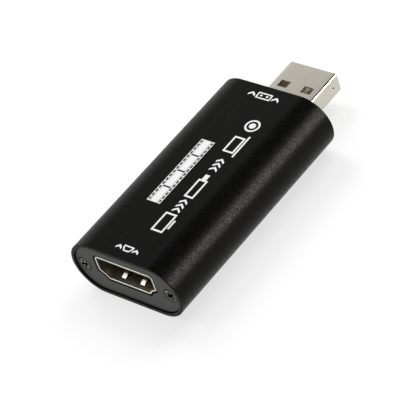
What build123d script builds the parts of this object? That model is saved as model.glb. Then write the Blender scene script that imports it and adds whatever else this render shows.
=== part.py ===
from build123d import *
import os
from math import sqrt

# Stick-shaped video capture adapter: a rounded aluminium tube with a video
# socket in one end and a flat data plug out of the other. Millimetres, +Z up.
# X runs across the body and Y along it, from the socket to the plug's tip. The
# origin is on the flat underside, below the middle of the whole part.

# Body
body_width = 28.0
body_height = 13.0
body_length = 51.5
wall = 0.85
rim_round = 0.12

# Screw channels and board ledges inside the tube
screw_inset = 2.9
boss_radius = 1.9
web_height = 2.6
channel_mouth = 0.9
ledge_thick = 0.8
ledge_grip = 0.9

# End plates
plate_recess = 0.33
plate_thick = 1.0
plate_gap = 0.1
plate_edge_round = 0.08
cutout_gap = 0.4
plug_cutout_gap = 0.3

# Plate screws
screw_radius = 0.95
thread_depth = 0.18
thread_pitch = 0.4
thread_turns = 9
thread_clearance = 0.03
screw_tip = 0.5
head_radius = 1.6
head_edge = 0.08
head_sink = 0.05
head_clearance = 0.06
sink_angle = 90
recess_span = 1.8
recess_arm = 0.5
recess_depth = 0.5
recess_core = 0.42

# Video socket
socket_rise = 0.77
socket_recess = 0.43
socket_depth = 11.3
socket_side_gap = 1.8
socket_height = 5.6
socket_sheet = 0.3
socket_corner = 0.95
socket_fold = 0.2
shoulder_run = 1.29
shoulder_drop = 0.78
slope_run = 0.83
slope_drop = 1.02
socket_fit = 0.05

# Spring fingers in the socket's floor and roof
finger_place_share = 0.4545
finger_width = 1.05
finger_slot_gap = 0.2
finger_tip = 1.2
finger_bend = 2.5
finger_root = 4.6
finger_lift = 0.7
finger_curl = 0.62

# Socket legs, through the board
leg_width = 1.6
leg_start = 3.2
leg_rear = 2.1
leg_proud = 0.8
leg_gap = 0.12
leg_overlap = 0.6

# Socket tongue, block and contacts
tongue_side_gap = 1.95
tongue_thick = 1.2
tongue_recess = 1.7
tongue_nose = 0.3
block_depth = 4.2
upper_contact_count = 10
lower_contact_count = 9
socket_contact_margin = 0.95
socket_contact_width = 0.32
contact_sheet = 0.15
contact_start = 0.35
tail_gap = 0.5
tail_step = 1.0
tail_foot = 0.7

# Data plug
plug_reach = 13.0
plug_inside = 7.2
plug_drop = 1.25
plug_width = 12.0
plug_height = 4.5
plug_sheet = 0.3
plug_corner = 0.5
plug_lip_round = 0.12
plug_fit = 0.05
window_width = 2.45
window_length = 1.9
window_offset = 3.0
window_start = 5.5
dimple_radius = 0.3
dimple_depth = 0.15
dimple_taper = 40
dimple_start = 2.1

# Plug insulator and contacts
cavity_depth = 11.9
cavity_height = 1.95
insulator_recess = 0.45
insulator_nose = 0.35
plug_contact_sheet = 0.22
plug_contact_proud = 0.06
plug_contact_width = 1.0
outer_contact_x = 3.5
inner_contact_x = 1.0
outer_contact_start = 1.7
inner_contact_start = 2.7
plug_tail_gap = 0.6
plug_tail_foot = 1.2

# Plug wings, through the board
wing_reach = 1.4
wing_width = 1.4
wing_pitch = 3.0
wing_rear = 1.1

# Circuit board
board_thick = 1.0
board_side_gap = 0.15
board_end_gap = 0.25
notch_gap = 0.25
solder_foot = 0.55
solder_height = 0.5
solder_taper = 30

# Moulded chips: their bent leads, edges and pin-one mark
lead_root_share = 0.3
lead_knee_share = 0.5
package_edge = 0.15
package_standoff = 0.1
mark_radius = 0.35
mark_inset = 0.8
mark_depth = 0.06
part_gap = 0.6

# Converter chip
chip_size = 7.0
chip_thick = 1.4
chip_lead_count = 16
chip_lead_pitch = 0.4
chip_lead_width = 0.16
chip_lead_reach = 1.0
chip_lead_sheet = 0.12

# Memory chip
memory_width = 3.9
memory_length = 4.9
memory_thick = 1.45
memory_x = 4.2
memory_lead_count = 4
memory_lead_pitch = 1.27
memory_lead_width = 0.42
memory_lead_reach = 1.05
memory_lead_sheet = 0.2

# Voltage regulators
regulator_width = 1.6
regulator_length = 2.9
regulator_thick = 1.1
regulator_x = -4.0
regulator_pitch = 3.4
regulator_lead_count = 3
regulator_lead_pitch = 0.95
regulator_lead_width = 0.38
regulator_lead_reach = 0.6
regulator_lead_sheet = 0.15

# Clock crystal
crystal_width = 2.5
crystal_length = 2.0
crystal_thick = 0.7
crystal_base = 0.3
crystal_lid_inset = 0.12
crystal_round = 0.25

# Surge protectors
protector_width = 2.5
protector_length = 1.0
protector_thick = 0.5
protector_edge = 0.06
protector_count = 3
protector_pitch = 3.6

# Capacitors, resistors and ferrite beads
small_part_length = 1.6
small_part_width = 0.8
small_part_thick = 0.8
resistor_thick = 0.45
terminal_length = 0.32
side_capacitor_count = 3
side_capacitor_pitch = 2.3
supply_capacitor_count = 4
supply_capacitor_pitch = 1.6
resistor_count = 8
resistor_pitch = 1.5
bead_count = 2
bead_pitch = 3.4

# One overrun for every cut that passes through
overrun = 1.0

# Levels and stations worked out from the sizes above
mid_height = body_height / 2
overall_length = body_length + plug_reach
body_front = -overall_length / 2
body_back = body_front + body_length
plug_tip = overall_length / 2
input_plate_front = body_front + plate_recess
output_plate_front = body_back - plate_recess
seat_front = input_plate_front + plate_thick
seat_back = output_plate_front - plate_thick
inner_width = body_width - 2 * wall
inner_height = body_height - 2 * wall
screw_x = body_width / 2 - screw_inset
channel_radius = screw_radius + thread_clearance
sink_radius = head_radius + head_clearance + head_edge + head_sink

socket_front = body_front + socket_recess
socket_back = socket_front + socket_depth
socket_width = 2 * (screw_x - boss_radius - socket_side_gap)
tongue_width = socket_width - 2 * tongue_side_gap
contact_span = tongue_width - 2 * socket_contact_margin
socket_contact_pitch = contact_span / (upper_contact_count - 1)
finger_offset = finger_place_share * (socket_width / 2 - shoulder_run - slope_run)
socket_bottom = socket_rise - socket_height / 2
board_top = mid_height + socket_bottom
board_bottom = board_top - board_thick
ledge_level = board_bottom - mid_height
board_chord = sqrt((inner_height / 2) ** 2 - ledge_level**2)
board_half = (inner_width - inner_height) / 2 + board_chord - board_side_gap
board_front = seat_front + board_end_gap
board_back = seat_back - board_end_gap

plug_back = body_back - plug_inside
plug_floor = -plug_drop - plug_height / 2
block_back = plug_tip - cavity_depth
socket_tail_end = socket_back + tail_gap + tail_step + tail_foot
plug_tail_end = plug_back - plug_tail_gap - plug_tail_foot


def across(y):
    """Upright plane across the body at y, its origin at mid height, facing the input end."""
    return Plane(origin=(0, y, mid_height), x_dir=Axis.X.direction, z_dir=-Axis.Y.direction)


def along(x):
    """Upright plane along the body at x, with Y to its right and Z up."""
    return Plane.YZ.offset(x)


def level(z):
    """Flat plane at height z above the underside."""
    return Plane.XY.offset(z)


def finish(piece, name):
    """Labels a finished piece and writes it as its own file."""
    piece.part.label = name
    export_step(piece.part, f"parts/{name}.step")


os.makedirs("parts", exist_ok=True)

# Housing tube: an extrusion of rounded section, its screw channels and board
# ledges milled back at both ends so that the plates sit inside the rim
with BuildPart() as housing_tube:
    with BuildSketch(across(body_front)):
        SlotOverall(body_width, body_height)
        SlotOverall(inner_width, inner_height, mode=Mode.SUBTRACT)
    extrude(amount=-body_length)
    for end in (0, -1):
        rim = housing_tube.faces().sort_by(Axis.Y)[end]
        fillet(rim.outer_wire().edges() + rim.inner_wires()[0].edges(), rim_round)
    with BuildSketch(across(seat_front)):
        with GridLocations(2 * screw_x, 0, 2, 1):
            Circle(boss_radius)
        with GridLocations(2 * screw_x + screw_inset, 0, 2, 1):
            Rectangle(screw_inset, web_height)
        for side in (-1, 1):
            with Locations((side * (board_half - ledge_grip), ledge_level)):
                outwards = (Align.MIN if side > 0 else Align.MAX, Align.MAX)
                Rectangle(body_width / 2 - board_half + ledge_grip, ledge_thick, align=outwards)
        SlotOverall(body_width - wall, body_height - wall, mode=Mode.INTERSECT)
        with GridLocations(2 * screw_x, 0, 2, 1):
            Circle(channel_radius, mode=Mode.SUBTRACT)
        with GridLocations(2 * screw_x - boss_radius, 0, 2, 1):
            Rectangle(boss_radius, channel_mouth, mode=Mode.SUBTRACT)
    extrude(amount=seat_front - seat_back)
finish(housing_tube, "housing_tube")


# Outline shared by the socket's shell, block and plate cut-out: flat top, short
# upright sides, then a shoulder and a slope down to a narrower floor
def socket_section(y, grow):
    """Socket outline at y, grown all round by grow, its upper corners the rounder ones."""
    half = socket_width / 2
    top = socket_rise + socket_height / 2
    shoulder_top = socket_bottom + slope_drop + shoulder_drop
    right_side = [
        (half, top),
        (half, shoulder_top),
        (half - shoulder_run, shoulder_top - shoulder_drop),
        (half - shoulder_run - slope_run, socket_bottom),
    ]
    left_side = [(-x, z) for x, z in reversed(right_side)]
    with BuildSketch(across(y)) as section:
        Polygon(*right_side, *left_side, align=None)
        offset(amount=grow, kind=Kind.INTERSECTION)
        fillet(section.vertices().group_by(Axis.Y)[-1], socket_corner + grow)
        fillet(section.vertices().group_by(Axis.Y)[0:3], socket_fold)
    return section.sketch


# Input end plate: milled plate with the socket's cut-out and two countersinks
with BuildPart(across(input_plate_front)) as input_end_plate:
    with BuildSketch(across(input_plate_front)):
        SlotOverall(inner_width - 2 * plate_gap, inner_height - 2 * plate_gap)
    extrude(amount=-plate_thick)
    fillet(input_end_plate.faces().sort_by(Axis.Y)[0].edges(), plate_edge_round)
    extrude(socket_section(input_plate_front, cutout_gap), amount=-plate_thick, mode=Mode.SUBTRACT)
    with GridLocations(2 * screw_x, 0, 2, 1):
        CounterSinkHole(channel_radius, sink_radius, counter_sink_angle=sink_angle)
finish(input_end_plate, "input_end_plate")

# Output end plate: the same blank, with a plain cut-out for the plug
output_face = Plane(
    origin=(0, output_plate_front, mid_height), x_dir=-Axis.X.direction, z_dir=Axis.Y.direction
)
with BuildPart(output_face) as output_end_plate:
    with BuildSketch(output_face):
        SlotOverall(inner_width - 2 * plate_gap, inner_height - 2 * plate_gap)
    extrude(amount=-plate_thick)
    fillet(output_end_plate.faces().sort_by(Axis.Y)[-1].edges(), plate_edge_round)
    with BuildSketch(output_face):
        with Locations((0, -plug_drop)):
            RectangleRounded(
                plug_width + 2 * plug_cutout_gap, plug_height + 2 * plug_cutout_gap, plug_corner
            )
    extrude(amount=-plate_thick, mode=Mode.SUBTRACT)
    with GridLocations(2 * screw_x, 0, 2, 1):
        CounterSinkHole(channel_radius, sink_radius, counter_sink_angle=sink_angle)
finish(output_end_plate, "output_end_plate")

# One plate screw, head up and axis on Z: countersunk head with a cross recess,
# and a shank whose thread is a row of ridges
head_height = head_radius - screw_radius
shank_root = screw_radius - thread_depth
with BuildPart() as plate_screw:
    with BuildSketch(Plane.XZ):
        with BuildLine():
            side = [(0, 0), (head_radius, 0), (head_radius, -head_edge)]
            side.append((screw_radius, -head_edge - head_height))
            for turn in range(thread_turns):
                crest = -head_edge - head_height - (turn + 1) * thread_pitch
                side += [(shank_root, crest + thread_pitch / 2), (screw_radius, crest)]
            side += [(0, crest - screw_tip), (0, 0)]
            Polyline(*side)
        make_face()
    revolve(axis=Axis.Z)
    with BuildSketch():
        Rectangle(recess_span, recess_arm)
        Rectangle(recess_arm, recess_span)
        Circle(recess_core)
    extrude(amount=-recess_depth, mode=Mode.SUBTRACT)

# The two screws of each plate, their heads just below the plate's face
with BuildPart(across(input_plate_front + head_sink)) as input_plate_screws:
    with GridLocations(2 * screw_x, 0, 2, 1):
        add(plate_screw.part)
finish(input_plate_screws, "input_plate_screws")

with BuildPart(output_face.offset(-head_sink)) as output_plate_screws:
    with GridLocations(2 * screw_x, 0, 2, 1):
        add(plate_screw.part)
finish(output_plate_screws, "output_plate_screws")

# Socket shell: formed steel sheet with two sprung fingers in its floor and two
# in its roof, and four legs that go down through the board
leg_x = (socket_width - socket_sheet) / 2
leg_pitch = socket_depth - leg_start - leg_rear
leg_y = socket_front + leg_start + leg_pitch / 2
leg_top = board_top + slope_drop + shoulder_drop + leg_overlap
slot_length = finger_root - finger_tip + finger_slot_gap
with BuildPart() as socket_shell:
    extrude(socket_section(socket_front, 0), amount=-socket_depth)
    extrude(socket_section(socket_front, -socket_sheet), amount=-socket_depth, mode=Mode.SUBTRACT)
    with BuildSketch(level(board_top + socket_height / 2)):
        with Locations((0, socket_front + finger_tip - finger_slot_gap + slot_length / 2)):
            with GridLocations(2 * finger_offset, 0, 2, 1):
                Rectangle(finger_width + 2 * finger_slot_gap, slot_length)
    extrude(amount=socket_height, both=True, mode=Mode.SUBTRACT)
    for x in (-finger_offset, finger_offset):
        with BuildSketch(along(x - finger_width / 2)):
            with BuildLine():
                rest = board_top + socket_sheet / 2
                Polyline(
                    (socket_front + finger_root + finger_slot_gap, rest),
                    (socket_front + finger_root, rest),
                    (socket_front + finger_bend, rest + finger_lift),
                    (socket_front + finger_tip, rest + finger_lift - finger_curl),
                )
            trace(line_width=socket_sheet)
            mirror(about=Plane.XZ.offset(-board_top - socket_height / 2))
        extrude(amount=finger_width)
    with BuildSketch(level(board_bottom - leg_proud)):
        with Locations((0, leg_y)):
            with GridLocations(2 * leg_x, leg_pitch, 2, 2):
                Rectangle(socket_sheet, leg_width)
    extrude(amount=leg_top - board_bottom + leg_proud)
finish(socket_shell, "socket_shell")


# Contact strips of the socket: straight along the tongue, then down behind the
# block and out along the board
def contact_strips(side, count, reach):
    """One row of strips on the tongue's upper (1) or lower (-1) side, reaching back by reach."""
    rest = mid_height + socket_rise + side * (tongue_thick - contact_sheet) / 2
    foot = board_top + contact_sheet / 2
    start = socket_front + tongue_recess + contact_start
    down = socket_back + reach
    with BuildPart() as strips:
        with BuildSketch(along(-socket_contact_width / 2)):
            with BuildLine():
                Polyline((start, rest), (down, rest), (down, foot), (down + tail_foot, foot))
            trace(line_width=contact_sheet)
        strip = extrude(amount=socket_contact_width, mode=Mode.PRIVATE)
        with GridLocations(socket_contact_pitch, 0, count, 1):
            add(strip)
    return strips


socket_upper_contacts = contact_strips(1, upper_contact_count, tail_gap + tail_step)
finish(socket_upper_contacts, "socket_upper_contacts")
socket_lower_contacts = contact_strips(-1, lower_contact_count, tail_gap)
finish(socket_lower_contacts, "socket_lower_contacts")

# Socket insulator: a block that fills the shell's rear, with a thin tongue
# forward of it, moulded round the contacts
with BuildPart() as socket_insulator:
    block = socket_section(socket_back - block_depth, -socket_sheet - socket_fit)
    extrude(block, amount=-block_depth)
    with BuildSketch(across(socket_back - block_depth)):
        with Locations((0, socket_rise)):
            Rectangle(tongue_width, tongue_thick)
    extrude(amount=socket_depth - tongue_recess - block_depth)
    nose = socket_insulator.faces().sort_by(Axis.Y)[0]
    chamfer(nose.edges().filter_by(Axis.X), tongue_nose)
    add(socket_upper_contacts.part, mode=Mode.SUBTRACT)
    add(socket_lower_contacts.part, mode=Mode.SUBTRACT)
finish(socket_insulator, "socket_insulator")

# Plug shell: folded steel sheet, two latch windows above and two below, a
# dimple in each side, and four wings soldered into the board
wing_x = plug_width / 2 + wing_reach
wing_y = plug_back + wing_rear + wing_pitch / 2
with BuildPart() as plug_shell:
    with BuildSketch(across(plug_back)):
        with Locations((0, -plug_drop)):
            RectangleRounded(plug_width, plug_height, plug_corner)
            RectangleRounded(
                plug_width - 2 * plug_sheet,
                plug_height - 2 * plug_sheet,
                plug_corner - plug_sheet,
                mode=Mode.SUBTRACT,
            )
    extrude(amount=plug_back - plug_tip)
    lip = plug_shell.faces().sort_by(Axis.Y)[-1]
    fillet(lip.outer_wire().edges(), plug_lip_round)
    with BuildSketch(level(mid_height - plug_drop)):
        with Locations((0, plug_tip - window_start - window_length / 2)):
            with GridLocations(2 * window_offset, 0, 2, 1):
                Rectangle(window_width, window_length)
    extrude(amount=plug_height, both=True, mode=Mode.SUBTRACT)
    for side in (-1, 1):
        with BuildSketch(along(side * plug_width / 2)):
            with Locations((plug_tip - dimple_start, mid_height - plug_drop)):
                Circle(dimple_radius)
        extrude(amount=-side * dimple_depth, taper=dimple_taper, mode=Mode.SUBTRACT)
    with BuildSketch(across(wing_y - wing_pitch / 2 - wing_width / 2)):
        for side in (-1, 1):
            with Locations((side * (plug_width / 2 - plug_sheet / 2), socket_bottom)):
                inner_edge = (Align.MIN if side > 0 else Align.MAX, Align.MIN)
                Rectangle(wing_reach + plug_sheet / 2, plug_sheet, align=inner_edge)
            with Locations((side * wing_x, socket_bottom + plug_sheet)):
                outer_edge = (Align.MAX if side > 0 else Align.MIN, Align.MAX)
                Rectangle(plug_sheet, board_thick + leg_proud + plug_sheet, align=outer_edge)
    extrude(amount=-wing_pitch - wing_width)
    with BuildSketch(across(wing_y - wing_pitch / 2 + wing_width / 2)):
        for side in (-1, 1):
            with Locations((side * plug_width / 2, socket_bottom + plug_sheet)):
                inner_edge = (Align.MIN if side > 0 else Align.MAX, Align.MAX)
                Rectangle(
                    wing_reach + overrun, board_thick + leg_proud + 2 * plug_sheet, align=inner_edge
                )
    extrude(amount=wing_width - wing_pitch, mode=Mode.SUBTRACT)
finish(plug_shell, "plug_shell")


# Contact strips of the plug: flat on its insulator, then down to the board
insulator_top = mid_height + plug_floor + plug_height - plug_sheet - cavity_height
with BuildPart() as plug_contacts:
    contact_rows = [
        (outer_contact_x, outer_contact_start),
        (inner_contact_x, inner_contact_start),
    ]
    for x, start in contact_rows:
        with BuildSketch(along(-plug_contact_width / 2)):
            with BuildLine():
                rest = insulator_top + plug_contact_proud - plug_contact_sheet / 2
                foot = board_top + plug_contact_sheet / 2
                down = plug_back - plug_tail_gap
                Polyline(
                    (plug_tip - start, rest), (down, rest), (down, foot), (down - plug_tail_foot, foot)
                )
            trace(line_width=plug_contact_sheet)
        strip = extrude(amount=plug_contact_width, mode=Mode.PRIVATE)
        with GridLocations(2 * x, 0, 2, 1):
            add(strip)
finish(plug_contacts, "plug_contacts")

# Plug insulator: half the shell's height under the contacts, all of it behind
# the cavity, with a sloped nose
with BuildPart() as plug_insulator:
    insulator_floor = plug_floor + plug_sheet + plug_fit
    insulator_width = plug_width - 2 * plug_sheet - 2 * plug_fit
    with BuildSketch(across(plug_back)):
        with Locations((0, insulator_floor)):
            Rectangle(
                insulator_width,
                insulator_top - mid_height - insulator_floor,
                align=(Align.CENTER, Align.MIN),
            )
    extrude(amount=plug_back - plug_tip + insulator_recess)
    nose = plug_insulator.faces().sort_by(Axis.Y)[-1]
    chamfer(nose.edges().filter_by(Axis.X).sort_by(Axis.Z)[-1], insulator_nose)
    with BuildSketch(across(plug_back)):
        with Locations((0, insulator_floor)):
            Rectangle(
                insulator_width,
                plug_height - 2 * plug_sheet - 2 * plug_fit,
                align=(Align.CENTER, Align.MIN),
            )
    extrude(amount=plug_back - block_back)
    add(plug_contacts.part, mode=Mode.SUBTRACT)
finish(plug_insulator, "plug_insulator")

# Circuit board: rests on the tube's ledges, with slots for the shells' legs
# and a notch round the sunken rear of the plug
leg_slots = [(side * leg_x, leg_y + row * leg_pitch / 2) for side in (-1, 1) for row in (-1, 1)]
wing_leg_x = wing_x - plug_sheet / 2
wing_slots = [(side * wing_leg_x, wing_y + row * wing_pitch / 2) for side in (-1, 1) for row in (-1, 1)]
with BuildPart() as circuit_board:
    with BuildSketch(level(board_bottom)):
        with Locations((0, board_front)):
            Rectangle(2 * board_half, board_back - board_front, align=(Align.CENTER, Align.MIN))
        with Locations((0, plug_back - notch_gap)):
            Rectangle(
                plug_width + 2 * notch_gap,
                board_back - plug_back + notch_gap + overrun,
                align=(Align.CENTER, Align.MIN),
                mode=Mode.SUBTRACT,
            )
        with Locations(*leg_slots):
            Rectangle(socket_sheet + 2 * leg_gap, leg_width + 2 * leg_gap, mode=Mode.SUBTRACT)
        with Locations(*wing_slots):
            Rectangle(plug_sheet + 2 * leg_gap, wing_width + 2 * leg_gap, mode=Mode.SUBTRACT)
    extrude(amount=board_thick)
finish(circuit_board, "circuit_board")


# Solder under the board, a cone of it round each leg
def solder_cones(places, leg_thick, leg_long):
    """Cones of solder under the board at places, each round one leg."""
    with BuildPart() as cones:
        with BuildSketch(level(board_bottom)):
            with Locations(*places):
                RectangleRounded(
                    leg_thick + 2 * solder_foot, leg_long + 2 * solder_foot, solder_foot
                )
        extrude(amount=-solder_height, taper=solder_taper)
        with BuildSketch(level(board_bottom)):
            with Locations(*places):
                Rectangle(leg_thick, leg_long)
        extrude(amount=-solder_height, mode=Mode.SUBTRACT)
    return cones


finish(solder_cones(leg_slots, socket_sheet, leg_width), "socket_solder")
finish(solder_cones(wing_slots, plug_sheet, wing_width), "plug_solder")

# Rows of parts on the board's upper side, spread evenly from the socket's tails
# to the plug's: protectors, resistors, converter, memory, crystal. The regulators
# share the memory's row, the supply capacitors the crystal's, the beads between
chip_span = chip_size + 2 * chip_lead_reach
row_lengths = [protector_length, small_part_length, chip_span, memory_length, crystal_length]
row_gap = (plug_tail_end - socket_tail_end - sum(row_lengths)) / (len(row_lengths) + 1)
protector_y = socket_tail_end + row_gap + protector_length / 2
resistor_y = protector_y + protector_length / 2 + row_gap + small_part_length / 2
chip_y = resistor_y + small_part_length / 2 + row_gap + chip_span / 2
second_row = chip_y + chip_span / 2 + row_gap
memory_y = second_row + memory_length / 2
regulator_y = second_row + regulator_length / 2
crystal_y = second_row + memory_length + row_gap + crystal_length / 2
supply_capacitor_y = crystal_y
bead_y = (second_row + regulator_length + supply_capacitor_y - small_part_length / 2) / 2
side_capacitor_x = chip_span / 2 + part_gap + small_part_width / 2


def moulded_package(places, width, length, thick):
    """Chip bodies on the board at places, edges bevelled, with a dimple by the first pin."""
    with BuildPart() as package:
        with BuildSketch(level(board_top + package_standoff)):
            with Locations(*places):
                Rectangle(width, length)
        extrude(amount=thick)
        top = package.faces().group_by(Axis.Z)[-1]
        chamfer(top.edges(), package_edge)
        corner_x = mark_inset - width / 2
        corner_y = mark_inset - length / 2
        with BuildSketch(level(board_top + package_standoff + thick)):
            with Locations(*[(x + corner_x, y + corner_y) for x, y in places]):
                Circle(mark_radius)
        extrude(amount=-mark_depth, mode=Mode.SUBTRACT)
    return package


def lead_row(reach, rise, width, sheet, count, pitch):
    """Row of leads along Y, each bent out along X, down by rise and out flat again."""
    with BuildPart() as row:
        with BuildSketch(Plane.XZ.offset(-width / 2)):
            with BuildLine():
                Polyline(
                    (0, rise),
                    (reach * lead_root_share, rise),
                    (reach * lead_knee_share, sheet / 2),
                    (reach, sheet / 2),
                )
            trace(line_width=sheet)
        lead = extrude(amount=width, mode=Mode.PRIVATE)
        with GridLocations(0, pitch, 1, count):
            add(lead)
    return row.part


# Converter chip: a square moulded body with a row of leads on each side
chip_place = [(0, chip_y)]
capture_chip = moulded_package(chip_place, chip_size, chip_size, chip_thick)
finish(capture_chip, "capture_chip")

with BuildPart(level(board_top)) as capture_chip_leads:
    chip_leads = lead_row(
        chip_lead_reach,
        package_standoff + chip_thick / 2,
        chip_lead_width,
        chip_lead_sheet,
        chip_lead_count,
        chip_lead_pitch,
    )
    with Locations(*chip_place):
        with PolarLocations(chip_size / 2, 4):
            add(chip_leads)
finish(capture_chip_leads, "capture_chip_leads")

# Memory chip: eight leads in two rows
memory_place = [(memory_x, memory_y)]
memory_chip = moulded_package(memory_place, memory_width, memory_length, memory_thick)
finish(memory_chip, "memory_chip")

with BuildPart(level(board_top)) as memory_chip_leads:
    memory_leads = lead_row(
        memory_lead_reach,
        package_standoff + memory_thick / 2,
        memory_lead_width,
        memory_lead_sheet,
        memory_lead_count,
        memory_lead_pitch,
    )
    with Locations(*memory_place):
        with PolarLocations(memory_width / 2, 2):
            add(memory_leads)
finish(memory_chip_leads, "memory_chip_leads")

# Two voltage regulators, side by side
regulator_places = [(regulator_x + side * regulator_pitch / 2, regulator_y) for side in (-1, 1)]
voltage_regulators = moulded_package(
    regulator_places, regulator_width, regulator_length, regulator_thick
)
finish(voltage_regulators, "voltage_regulators")

with BuildPart(level(board_top)) as regulator_leads:
    short_leads = lead_row(
        regulator_lead_reach,
        package_standoff + regulator_thick / 2,
        regulator_lead_width,
        regulator_lead_sheet,
        regulator_lead_count,
        regulator_lead_pitch,
    )
    with Locations(*regulator_places):
        with PolarLocations(regulator_width / 2, 2):
            add(short_leads)
finish(regulator_leads, "regulator_leads")

# Clock crystal: a ceramic base with a metal lid seamed on to it
with BuildPart() as clock_crystal:
    with BuildSketch(level(board_top)):
        with Locations((memory_x, crystal_y)):
            Rectangle(crystal_width, crystal_length)
    extrude(amount=crystal_base)
    with BuildSketch(level(board_top + crystal_base)):
        with Locations((memory_x, crystal_y)):
            RectangleRounded(
                crystal_width - 2 * crystal_lid_inset,
                crystal_length - 2 * crystal_lid_inset,
                crystal_round,
            )
    extrude(amount=crystal_thick - crystal_base)
finish(clock_crystal, "clock_crystal")

# Surge protectors: flat moulded blocks in a row behind the socket's tails
with BuildPart() as surge_protectors:
    with BuildSketch(level(board_top)):
        with Locations((0, protector_y)):
            with GridLocations(protector_pitch, 0, protector_count, 1):
                Rectangle(protector_width, protector_length)
    extrude(amount=protector_thick)
    chamfer(surge_protectors.faces().group_by(Axis.Z)[-1].edges(), protector_edge)
finish(surge_protectors, "surge_protectors")


# Capacitors, resistors and ferrite beads: small blocks, a metal terminal at
# each end
def small_parts(places, thick):
    """Bodies of the small two-ended parts at places, between their terminals."""
    with BuildPart() as bodies:
        with BuildSketch(level(board_top)):
            with Locations(*places):
                Rectangle(small_part_width, small_part_length - 2 * terminal_length)
        extrude(amount=thick)
    return bodies


def row_of(count, pitch, x, y):
    """Places of a row along X, centred on x, y."""
    return [(x + (i - (count - 1) / 2) * pitch, y) for i in range(count)]


side_capacitor_ys = [
    chip_y + (i - (side_capacitor_count - 1) / 2) * side_capacitor_pitch
    for i in range(side_capacitor_count)
]
side_capacitors = [(side * side_capacitor_x, y) for side in (-1, 1) for y in side_capacitor_ys]
supply_capacitors = row_of(
    supply_capacitor_count, supply_capacitor_pitch, regulator_x, supply_capacitor_y
)
capacitor_places = side_capacitors + supply_capacitors
resistor_places = row_of(resistor_count, resistor_pitch, 0, resistor_y)
bead_places = row_of(bead_count, bead_pitch, regulator_x, bead_y)
finish(small_parts(capacitor_places, small_part_thick), "capacitors")
finish(small_parts(resistor_places, resistor_thick), "resistors")
finish(small_parts(bead_places, small_part_thick), "ferrite_beads")

with BuildPart() as component_terminals:
    for places, thick in (
        (capacitor_places + bead_places, small_part_thick),
        (resistor_places, resistor_thick),
    ):
        with BuildSketch(level(board_top)):
            with Locations(*places):
                with GridLocations(0, small_part_length - terminal_length, 1, 2):
                    Rectangle(small_part_width, terminal_length)
        extrude(amount=thick)
finish(component_terminals, "component_terminals")
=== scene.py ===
from math import copysign, cos, hypot, pi, radians, sin, sqrt

import bmesh
import bpy
from mathutils import Matrix, Vector


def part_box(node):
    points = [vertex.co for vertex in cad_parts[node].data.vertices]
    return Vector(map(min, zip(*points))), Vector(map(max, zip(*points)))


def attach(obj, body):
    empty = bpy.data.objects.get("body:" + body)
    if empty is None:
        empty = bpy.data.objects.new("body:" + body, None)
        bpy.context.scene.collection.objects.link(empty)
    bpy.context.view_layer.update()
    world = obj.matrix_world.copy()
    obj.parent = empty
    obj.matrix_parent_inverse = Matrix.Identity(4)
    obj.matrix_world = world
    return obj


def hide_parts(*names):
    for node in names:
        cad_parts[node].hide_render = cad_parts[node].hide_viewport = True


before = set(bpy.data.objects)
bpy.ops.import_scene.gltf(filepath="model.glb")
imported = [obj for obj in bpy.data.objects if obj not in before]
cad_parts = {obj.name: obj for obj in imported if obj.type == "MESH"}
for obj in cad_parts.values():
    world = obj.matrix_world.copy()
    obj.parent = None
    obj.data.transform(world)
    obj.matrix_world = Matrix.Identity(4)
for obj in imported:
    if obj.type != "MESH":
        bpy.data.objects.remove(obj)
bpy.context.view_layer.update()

# Camera
# It stands where the photograph was taken: in front of the socket, to the right and
# well above, turned a little about its own axis, with a long lens.
mm = 0.001
tube_low, tube_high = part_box("housing_tube")
mid_height = (tube_low.z + tube_high.z) / 2
camera_azimuth = radians(51.096)
camera_elevation = radians(40.798)
camera_roll = radians(-20.269)
camera_distance = 429.114 * mm
camera_aim = Vector((0.309 * mm, -8.350 * mm, mid_height))
lens_length = 195.273
sensor_width = 36
nearest_seen = 10 * mm
farthest_seen = 10

backwards = Vector(
    (
        sin(camera_azimuth) * cos(camera_elevation),
        -cos(camera_azimuth) * cos(camera_elevation),
        sin(camera_elevation),
    )
)
camera = bpy.data.objects.new("camera", bpy.data.cameras.new("camera"))
bpy.context.scene.collection.objects.link(camera)
camera.data.sensor_width = sensor_width
camera.data.lens = lens_length
camera.data.clip_start = nearest_seen
camera.data.clip_end = farthest_seen
level_facing = backwards.to_track_quat("Z", "Y").to_matrix().to_4x4()
camera.matrix_world = (
    Matrix.Translation(camera_aim + camera_distance * backwards)
    @ level_facing
    @ Matrix.Rotation(camera_roll, 4, "Z")
)
bpy.context.scene.camera = camera

# Circuit board
# A glass-fibre board with a dark green lacquer over its copper. It slides into the
# tube on two ledges and carries both connectors and all the small parts.
weave_size = 0.35 * mm
track_size = 1.4 * mm
track_height = 0.02 * mm


class Wire:
    """One output of a shader node. Sums and products of wires, and tests of them, add Math nodes."""

    def __init__(self, finish, socket):
        self.finish = finish
        self.socket = socket

    def maths(self, operation, first, second):
        settings = {"operation": operation}
        return self.finish.add("ShaderNodeMath", settings, {0: first, 1: second})

    def __add__(self, other):
        return self.maths("ADD", self, other)

    def __rsub__(self, other):
        return self.maths("SUBTRACT", other, self)

    def __mul__(self, other):
        return self.maths("MULTIPLY", self, other)

    def __gt__(self, other):
        return self.maths("GREATER_THAN", self, other)

    __radd__ = __add__
    __rmul__ = __mul__


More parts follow.
